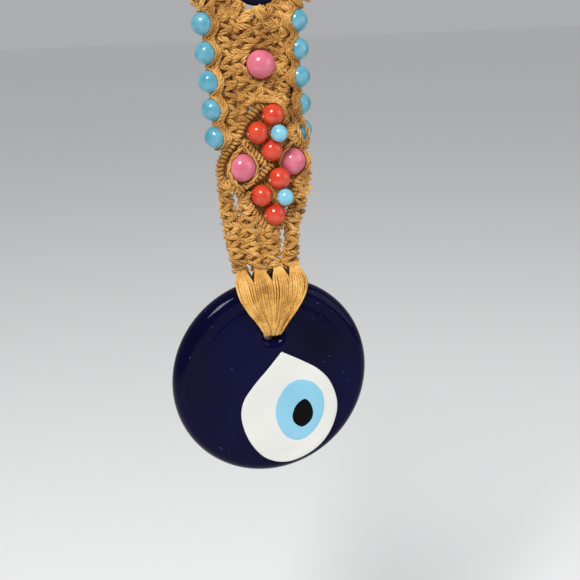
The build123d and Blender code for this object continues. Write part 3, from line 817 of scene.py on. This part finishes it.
LOOP_R = 5.0 + 2.2
loop_line = [(-1.0, 0, LOOP_FOLD + 1.2), (-1.6, 0, LOOP_FOLD + 3.4)]
for degrees in range(208, -29, -16):
    angle = math.radians(degrees)
    loop_line.append((LOOP_R * math.cos(angle), 0, -5.0 + LOOP_R * math.sin(angle)))
loop_line += [(1.6, 0, LOOP_FOLD + 3.4), (1.0, 0, LOOP_FOLD + 1.2)]
loop_route = smooth_route(loop_line, 0.4)
loop_routes = [coil(loop_route, 1.75, 3.2, 20, phase=i * math.pi / 2) for i in range(4)]
loop_routes += twist(loop_route, 4, 0.6, 9.0) + twist(loop_route, 6, 1.1, -9.0)
loop_routes += wrap_routes((LOOP_FOLD + 1.0, LOOP_FOLD + 4.2), 3.2, 2.3, 1.5)
pieces["loop_wrapping"] = thread_piece("loop_wrapping", loop_routes, THREAD_R, band_thread)

# %% [markdown]
# ## Beads
# A bead is a ball with a hole and a worn lip round it. Half its outline is spun round the hole's axis,
# which makes both the outside and the wall of the hole in one closed skin.

# %% Bead helper
def bead_mesh(radius, bore, squash=0.985):
    """Bead at the origin, its hole along Z, in millimetres."""
    bm = bmesh.new()
    lip = math.asin(bore / radius) * 1.28
    outline = [(bore, radius * math.cos(lip) * 0.93)]
    for i in range(25):
        angle = lip + (math.pi - 2 * lip) * i / 24
        outline.append((radius * math.sin(angle), radius * math.cos(angle) * squash))
    outline.append((bore, -outline[0][1]))
    verts = [bm.verts.new((x, 0, z)) for x, z in outline]
    edges = [bm.edges.new(pair) for pair in zip(verts, verts[1:] + verts[:1])]
    bmesh.ops.spin(bm, geom=verts + edges, cent=(0, 0, 0), axis=(0, 0, 1), angle=2 * math.pi, steps=48,
                   use_merge=True)
    bmesh.ops.remove_doubles(bm, verts=bm.verts, dist=1e-4)
    bmesh.ops.recalc_face_normals(bm, faces=bm.faces)
    return bm


def bead_piece(node, bore, along, material):
    """Bead in the place and size of a CAD bead."""
    low, high = node_box(node)
    size = high - low
    bm = bead_mesh(size[1] / 2, bore)
    aim = Vector((0, 0, 1)).rotation_difference(Vector(along)).to_matrix()
    turn = Matrix.Rotation(rng.uniform(0, 6), 3, "Z")
    bmesh.ops.rotate(bm, verts=bm.verts, cent=(0, 0, 0), matrix=aim @ turn)
    bmesh.ops.translate(bm, verts=bm.verts, vec=Vector((low + high) / 2))
    bmesh.ops.scale(bm, verts=bm.verts, vec=(MM, MM, MM))
    mesh = bpy.data.meshes.new(node)
    bm.to_mesh(mesh)
    bm.free()
    return finished(node + "_glass", mesh, material)


# %% Make the beads
ACROSS = (1, 0, 0)
BORE_R, SMALL_BORE_R = 0.95, 0.5   # holes of the larger beads, and of the 6 mm ones
BEADS = [(f"side_bead_{side}_{i}", f"bead_{side}_{i}", BORE_R, joints[f"bead_{side}_{i}_spin"]["axis"],
          turquoise, "turquoise_bead") for side in ("left", "right") for i in range(1, 6)]
BEADS += [(f"red_bead_{i}", "lower_band", BORE_R, ACROSS, red, "red_bead") for i in range(1, 7)]
BEADS += [(f"pink_bead_{side}", "lower_band", BORE_R, ACROSS, pink, "pink_bead")
          for side in ("left", "right")]
BEADS += [(f"blue_bead_{i}", "lower_band", SMALL_BORE_R, ACROSS, light_blue, "light_blue_bead")
          for i in (1, 2)]
BEADS.append(("pink_bead_centre", "bead_pink_centre", BORE_R, joints["bead_pink_centre_spin"]["axis"],
              pink, "pink_bead"))
for node, body, bore, along, material, slot in BEADS:
    bead = bead_piece(node, bore, along, material)
    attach(bead, body)
    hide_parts(node)
print(len(BEADS), "beads")

# %% [markdown]
# ## Glass disc
# The disc is poured glass: a low dome with a fat round rim, a slightly raised lip where the hole was
# pushed through, and a faint dent ring. Its mesh is spun round the hole as a stack of rings, and each
# ring is then moved to its place between the hole and the rim, so the hole belongs to the mesh and no
# cut spoils the gloss.

# %% Disc shape
DISC_LOW, DISC_HIGH = node_box("glass_disc")
DISC_C = node_centre("glass_disc")
DISC_R = (DISC_HIGH[0] - DISC_LOW[0]) / 2
DISC_FRONT, DISC_BACK = DISC_LOW[1], DISC_HIGH[1]
HOLE_R, HOLE_Z = 3.75, DISC_C[2] + 18.5
RIM_SHARE = 0.87         # rings beyond this share of the radius belong to the rim


def front_height(x, z):
    """Depth of the front face at a place on the disc."""
    r = math.hypot(x, z - DISC_C[2]) / DISC_R
    d = math.hypot(x, z - HOLE_Z) - HOLE_R
    dome = -0.55 * (1 - (r / RIM_SHARE)**2) if r < RIM_SHARE else 0.0
    lip = -0.38 * math.exp(-((d - 1.5) / 0.9)**2)
    dent = 0.10 * math.exp(-((r - 0.80) / 0.03)**2)
    mound = -0.45 * math.exp(-((x - 0.6) / 2.0)**2 - ((z - HOLE_Z + 5.9) / 1.1)**2)
    wave = 0.07 * math.sin(0.19 * x + 1.3) * math.sin(0.16 * z + 0.4)
    return DISC_FRONT + dome + lip + dent + mound + wave * (r < RIM_SHARE)


def disc_mesh():
    """Rings round the hole: a ring's share of the way to the rim is its distance from the axis less 1."""
    middle_y = (DISC_FRONT + DISC_BACK) / 2
    half = (DISC_BACK - DISC_FRONT) / 2
    shares = [(0.0, y) for y in np.linspace(DISC_BACK - 1.5, DISC_FRONT + 1.5, 5)]
    shares += [(0.006, DISC_FRONT + 0.7), (0.018, DISC_FRONT + 0.25), (0.034, DISC_FRONT)]
    shares += [(t, DISC_FRONT) for t in np.linspace(0.055, RIM_SHARE, 44)]
    for i in range(1, 24):
        angle = math.pi * i / 24
        shares.append((RIM_SHARE + (1 - RIM_SHARE) * math.sin(angle), middle_y - half * math.cos(angle)))
    shares += [(t, DISC_BACK) for t in np.linspace(RIM_SHARE, 0.055, 20)]
    shares += [(0.034, DISC_BACK), (0.018, DISC_BACK - 0.25), (0.006, DISC_BACK - 0.7)]
    bm = bmesh.new()
    verts = [bm.verts.new((1 + t, y, 0)) for t, y in shares]
    edges = [bm.edges.new(pair) for pair in zip(verts, verts[1:] + verts[:1])]
    bmesh.ops.spin(bm, geom=verts + edges, cent=(0, 0, 0), axis=(0, 1, 0), angle=2 * math.pi, steps=144,
                   use_merge=True)
    bmesh.ops.remove_doubles(bm, verts=bm.verts, dist=1e-5)
    for v in bm.verts:
        share = math.hypot(v.co.x, v.co.z) - 1
        shift = min(1.0, share / 0.8)
        radius = HOLE_R + (DISC_R - HOLE_R) * share
        angle = math.atan2(v.co.x, v.co.z)
        x = radius * math.sin(angle)
        z = HOLE_Z * (1 - shift) + DISC_C[2] * shift + radius * math.cos(angle)
        on_front = v.co.y < DISC_FRONT + 0.01 and share < RIM_SHARE
        v.co = (x, front_height(x, z) if on_front else v.co.y, z)
    bmesh.ops.recalc_face_normals(bm, faces=bm.faces)
    bmesh.ops.scale(bm, verts=bm.verts, vec=(MM, MM, MM))
    mesh = bpy.data.meshes.new("disc")
    bm.to_mesh(mesh)
    bm.free()
    return mesh


disc = finished("eye_disc_glass", disc_mesh(), cobalt)

# %% [markdown]
# ## The eye on the disc
# White, light blue and black glass were dropped on one after another while soft, so each layer is a thin
# lens with a rounded edge. Each starts as a flattened ball, whose outline is stretched to the layer's
# shape and whose front follows the disc's dome.

# %% Eye layers
def outline_reach(points, centre, corner):
    """Angles from straight up, and the outline's distance from the centre at each of them."""
    closed = points + points[:1] if corner else points[-2:] + points + points[:3]
    line = smooth_route([(x, 0.0, z) for x, z in closed], 0.15)
    dx, dz = line[:, 0] - centre[0], line[:, 2] - centre[1]
    angle = np.arctan2(dx, dz)
    order = np.argsort(angle)
    return angle[order], np.hypot(dx, dz)[order]


def eye_layer(name, points, centre, corner, proud, material):
    """Thin lens of glass lying on the disc's front, whose outline goes through the points (x, z)."""
    angles, reaches = outline_reach(points, centre, corner)
    first = math.atan2(points[0][0] - centre[0], points[0][1] - centre[1])
    bm = bmesh.new()
    bmesh.ops.create_uvsphere(bm, u_segments=160, v_segments=48, radius=1.0)
    bmesh.ops.rotate(bm, verts=bm.verts, cent=(0, 0, 0), matrix=Matrix.Rotation(math.pi / 2, 3, "X"))
    for v in bm.verts:
        share = min(1.0, math.hypot(v.co.x, v.co.z))
        angle = math.remainder(math.atan2(v.co.x, v.co.z) + first, 2 * math.pi)
        reach = share * float(np.interp(angle, angles, reaches, period=2 * math.pi))
        x = centre[0] + reach * math.sin(angle)
        z = centre[1] + reach * math.cos(angle)
        rise = math.sqrt(1 - share**30)
        y = front_height(x, z) + (-proud * rise if v.co.y < 0 else 0.5 * rise)
        v.co = (x, y, z)
    bmesh.ops.recalc_face_normals(bm, faces=bm.faces)
    bmesh.ops.scale(bm, verts=bm.verts, vec=(MM, MM, MM))
    mesh = bpy.data.meshes.new(name)
    bm.to_mesh(mesh)
    bm.free()
    return finished(name, mesh, material)


# each layer's outline clockwise from its top, as (x, z)
WHITE = [(2.8, -184.6), (10.8, -189.2), (17.2, -193.6), (21.8, -199.4), (24.3, -207.6), (23.2, -215.2),
         (18.8, -222.6), (11.8, -227.3), (3.2, -229.0), (-4.8, -226.0), (-10.7, -218.4), (-13.5, -209.2),
         (-12.6, -202.2), (-8.4, -196.3), (-3.0, -190.8)]
IRIS = [(9.0, -196.1), (14.6, -198.0), (18.2, -202.4), (19.1, -208.2), (17.5, -214.0), (13.4, -219.0),
        (8.4, -220.9), (3.4, -218.6), (0.3, -213.4), (-0.7, -207.6), (0.7, -202.4), (4.0, -198.0)]
PUPIL = [(10.9, -204.1), (13.3, -206.2), (14.4, -209.8), (13.5, -213.2), (10.0, -215.5), (6.8, -213.5),
         (5.9, -210.0), (7.5, -206.2)]
white_layer = eye_layer("eye_white_glass", WHITE, (5.6, -209.4), True, 0.35, white_glass)
iris_layer = eye_layer("eye_iris_glass", IRIS, (9.2, -208.4), False, 0.55, iris_glass)
pupil_layer = eye_layer("eye_pupil_glass", PUPIL, (10.1, -209.9), False, 0.75, black_glass)
eye_parts = [
    (disc, "glass_disc", "cobalt_glass"),
    (white_layer, "eye_white", "white_glass"),
    (iris_layer, "eye_iris", "light_blue_glass"),
    (pupil_layer, "eye_pupil", "black_glass"),
]
for piece, node, slot in eye_parts:
    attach(piece, "eye_disc")
    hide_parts(node)

# %% [markdown]
# ## Small eye
# The small eye in the band is pressed glass, round and even, so its rings are spun round its middle. It
# hangs by a loop of thread from a cord that crosses the gap between the columns.

# %% Small eye
SMALL_C = node_centre("small_eye_glass")
SMALL_R = (node_box("small_eye_glass")[1] - node_box("small_eye_glass")[0])[0] / 2
SMALL_HALF = 2.0
SMALL_HOLE_Z = SMALL_C[2] + 7.0


def spun_piece(name, outline, centre, material, steps=72):
    """Closed outline (radius, y) spun round the Y axis through a centre (x, z)."""
    bm = bmesh.new()
    verts = [bm.verts.new((r, y, 0)) for r, y in outline]
    edges = [bm.edges.new(pair) for pair in zip(verts, verts[1:])]
    bmesh.ops.spin(bm, geom=verts + edges, cent=(0, 0, 0), axis=(0, 1, 0), angle=2 * math.pi, steps=steps,
                   use_merge=True)
    bmesh.ops.remove_doubles(bm, verts=bm.verts, dist=1e-4)
    bmesh.ops.recalc_face_normals(bm, faces=bm.faces)
    bmesh.ops.translate(bm, verts=bm.verts, vec=(centre[0], 0, centre[1]))
    bmesh.ops.scale(bm, verts=bm.verts, vec=(MM, MM, MM))
    mesh = bpy.data.meshes.new(name)
    bm.to_mesh(mesh)
    bm.free()
    return finished(name, mesh, material)


def lens_outline(radius, front, behind, power=4):
    """Half outline of a flat lens from its front middle round the edge to its back middle."""
    outline = []
    for i in range(25):
        angle = math.pi * i / 24
        edge = math.sin(angle)**(2 / power)
        y = front + (behind - front) * (1 - math.cos(angle)) / 2
        outline.append((radius * edge, y))
    return outline


def pierced_small_disc():
    """Small disc with the hole cut by a boolean, which is small enough to leave the gloss alone."""
    blank = lens_outline(SMALL_R, -SMALL_HALF, SMALL_HALF)
    body = spun_piece("small_eye_blank", blank, (SMALL_C[0], SMALL_C[2]), cobalt)
    bm = bmesh.new()
    bmesh.ops.create_cone(bm, cap_ends=True, segments=32, radius1=1.1 * MM, radius2=1.1 * MM, depth=0.02)
    bmesh.ops.rotate(bm, verts=bm.verts, cent=(0, 0, 0), matrix=Matrix.Rotation(math.pi / 2, 3, "X"))
    bmesh.ops.translate(bm, verts=bm.verts, vec=(0, 0, SMALL_HOLE_Z * MM))
    mesh = bpy.data.meshes.new("cutter")
    bm.to_mesh(mesh)
    bm.free()
    cutter = bpy.data.objects.new("cutter", mesh)
    bpy.context.scene.collection.objects.link(cutter)
    modifier = body.modifiers.new("hole", "BOOLEAN")
    modifier.object = cutter
    modifier.solver = "EXACT"
    bpy.context.view_layer.update()
    cut = bpy.data.meshes.new_from_object(body.evaluated_get(bpy.context.evaluated_depsgraph_get()))
    bpy.data.objects.remove(body)
    bpy.data.objects.remove(cutter)
    return finished("small_eye_glass_disc", cut, cobalt)


small_eye_z = SMALL_C[2] - 1.0
small_parts = [(pierced_small_disc(), "small_eye_glass", "cobalt_glass")]
SMALL_RINGS = (  # piece, radius, how proud, how deep, glass, node, slot
    ("small_eye_white_ring", 5.3, 0.25, 0.8, white_glass, "small_eye_white", "white_glass"),
    ("small_eye_iris_ring", 3.3, 0.4, 0.6, iris_glass, "small_eye_iris", "light_blue_glass"),
    ("small_eye_pupil_dot", 1.5, 0.55, 0.4, black_glass, "small_eye_pupil", "black_glass"),
)
for name, radius, proud, deep, glass, node, slot in SMALL_RINGS:
    outline = lens_outline(radius, -SMALL_HALF - proud, -SMALL_HALF + deep)
    small_parts.append((spun_piece(name, outline, (0, small_eye_z), glass), node, slot))
THREAD_LOW, THREAD_HIGH = node_box("small_eye_thread")
ring = []
for i in range(41):
    angle = 2 * math.pi * i / 40
    ring.append((0, 3.15 * math.sin(angle), (THREAD_LOW[2] + THREAD_HIGH[2]) / 2
                 + ((THREAD_HIGH[2] - THREAD_LOW[2]) / 2 - 0.4) * math.cos(angle)))
ring_route = smooth_route(ring, 0.4)
small_thread = thread_piece("small_eye_thread_loop", twist(ring_route, 3, 0.22, 3.0), 0.22, fan_thread,
                            rounds=2)
small_parts.append((small_thread, "small_eye_thread", "hemp_thread"))
for piece, node, slot in small_parts:
    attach(piece, "small_eye")
    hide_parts(node)

CROSS_LOW, CROSS_HIGH = node_box("eye_hanging_cord")
cross_z = (CROSS_LOW[2] + CROSS_HIGH[2]) / 2
cross_route = smooth_route([(CROSS_LOW[0] - 0.8, 0, cross_z + 0.4), (0, 0, cross_z),
                            (CROSS_HIGH[0] + 0.8, 0, cross_z + 0.4)])
pieces["crossing_cord"] = thread_piece("crossing_cord", twist(cross_route, 3, 0.3, 3.5), 0.28, band_thread)

# %% [markdown]
# ## Loose fibres
# Bast thread is hairy: short fine fibres stand off every knot and show against the background, paler than
# the threads and partly coloured with a painted highlight. Each is a thin curved hair that starts on a
# thread and bends as it leaves.

# %% Loose fibres
HAIR_R = 0.045


def hairs(routes, count, long):
    """Hairs that start on randomly chosen points of the routes."""
    made = []
    for _ in range(count):
        route = routes[rng.integers(len(routes))]
        start = route[rng.integers(2, len(route) - 2)]
        aim = rng.normal(size=3) * (1.0, 1.0, 0.7)
        aim /= np.linalg.norm(aim)
        curl = rng.normal(size=3) * 0.5
        reach = long * rng.uniform(0.35, 1.0)
        t = np.linspace(0, 1, 7)[:, None]
        made.append(start + aim * reach * t + curl * reach * 0.5 * t**2)
    return made


def column_hairs(name, node_names, count, long):
    """Hairs on the threads of pieces that are already made."""
    points = np.vstack([np.array([v.co for v in pieces[n].data.vertices]) for n in node_names]) / MM
    routes = [points[rng.integers(len(points), size=8)] for _ in range(count)]
    made = []
    for route in routes:
        made += hairs([route], 1, long)
    return thread_piece(name, made, HAIR_R, loose_fibre, rounds=0)


upper_names = [f"column_{i}" for i in range(1, 5)] + ["column_middle"]
lower_names = [f"lower_column_{i}" for i in range(1, 5)] + list(RIBS) + ["diamond_cords"]
fuzz = {
    "fuzz_columns": (column_hairs("fuzz_columns", upper_names + ["edge_cord_left", "edge_cord_right"],
                                  620, 2.6),
                     ("upper_band", "lower_band")),
    "fuzz_diamond": (column_hairs("fuzz_diamond", lower_names, 380, 2.4), ("lower_band",)),
    "fuzz_fan": (column_hairs("fuzz_fan", ["fan_threads"], 90, 1.5), ("lower_band", "thread_fan")),
}

# %% [markdown]
# ## What moves with what
# A piece that crosses a fold only has its place baked into its mesh and is attached to no body; the others
# below follow one body each.


def across(piece):
    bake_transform(piece)


for name in upper_names:
    across(pieces[name])
for name in ("edge_cord_left", "edge_cord_right"):
    across(pieces[name])
for name in list(RIBS) + ["diamond_cords"]:
    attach(pieces[name], "lower_band")
for name in LOWER_LINES:
    across(pieces[name])
across(pieces["fan_threads"])
across(pieces["neck_cords"])
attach(pieces["neck_wrapping"], "upper_band")
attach(pieces["crossing_cord"], "upper_band")
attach(pieces["loop_wrapping"], "hanger")
across(fuzz["fuzz_columns"][0])
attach(fuzz["fuzz_diamond"][0], "lower_band")
across(fuzz["fuzz_fan"][0])

# %% Hide the CAD parts that the new pieces replace
for number in range(1, 5):
    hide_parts(f"upper_sinnet_{number}")
    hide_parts(f"lower_sinnet_{number}")
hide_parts("shoulder_left")
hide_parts("shoulder_right")
for side in ("left", "right"):
    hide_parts(f"upper_edge_cord_{side}", f"lower_edge_cord_{side}")
for name in RIBS:
    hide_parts(name)
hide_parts("cross_cord", "bead_cords")
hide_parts("pink_centre_cord")
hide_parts("thread_fan_front", "thread_fan_back", "thread_bight")
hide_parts("neck_core")
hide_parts("neck_wrap")
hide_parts("hanging_loop")
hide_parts("eye_hanging_cord")

# %% [markdown]
# ## Floor and light
# A plain pale floor far below, a large soft key light from the upper left, a weak fill, and a pale world.

# %% Floor and light
FLOOR_Z = -0.42
bm = bmesh.new()
bmesh.ops.create_grid(bm, x_segments=1, y_segments=1, size=12.0)
bmesh.ops.translate(bm, verts=bm.verts, vec=(0, 0, FLOOR_Z))
floor_mesh = bpy.data.meshes.new("floor")
bm.to_mesh(floor_mesh)
bm.free()
floor_material, _, floor_shader = new_material("floor_paint", Roughness=0.9)
floor_shader.inputs["Base Color"].default_value = (0.94, 0.94, 0.935, 1.0)
floor = finished("floor", floor_mesh, floor_material)


def soft_light(name, place, size, power, aim=(0, 0, -0.13)):
    light = bpy.data.lights.new(name, "AREA")
    light.size = size
    light.energy = power
    lamp = bpy.data.objects.new(name, light)
    lamp.location = place
    lamp.rotation_euler = (Vector(aim) - Vector(place)).to_track_quat("-Z", "Y").to_euler()
    bpy.context.scene.collection.objects.link(lamp)


soft_light("key_light", (-0.55, -0.70, 0.75), 0.42, 15)
soft_light("fill_light", (0.9, -0.6, 0.2), 0.8, 3)
world = bpy.data.worlds.new("studio")
world.use_nodes = True
world.node_tree.nodes["Background"].inputs["Color"].default_value = (0.92, 0.93, 0.95, 1.0)
world.node_tree.nodes["Background"].inputs["Strength"].default_value = 0.45
bpy.context.scene.view_settings.view_transform = "Standard"
bpy.context.scene.world = world
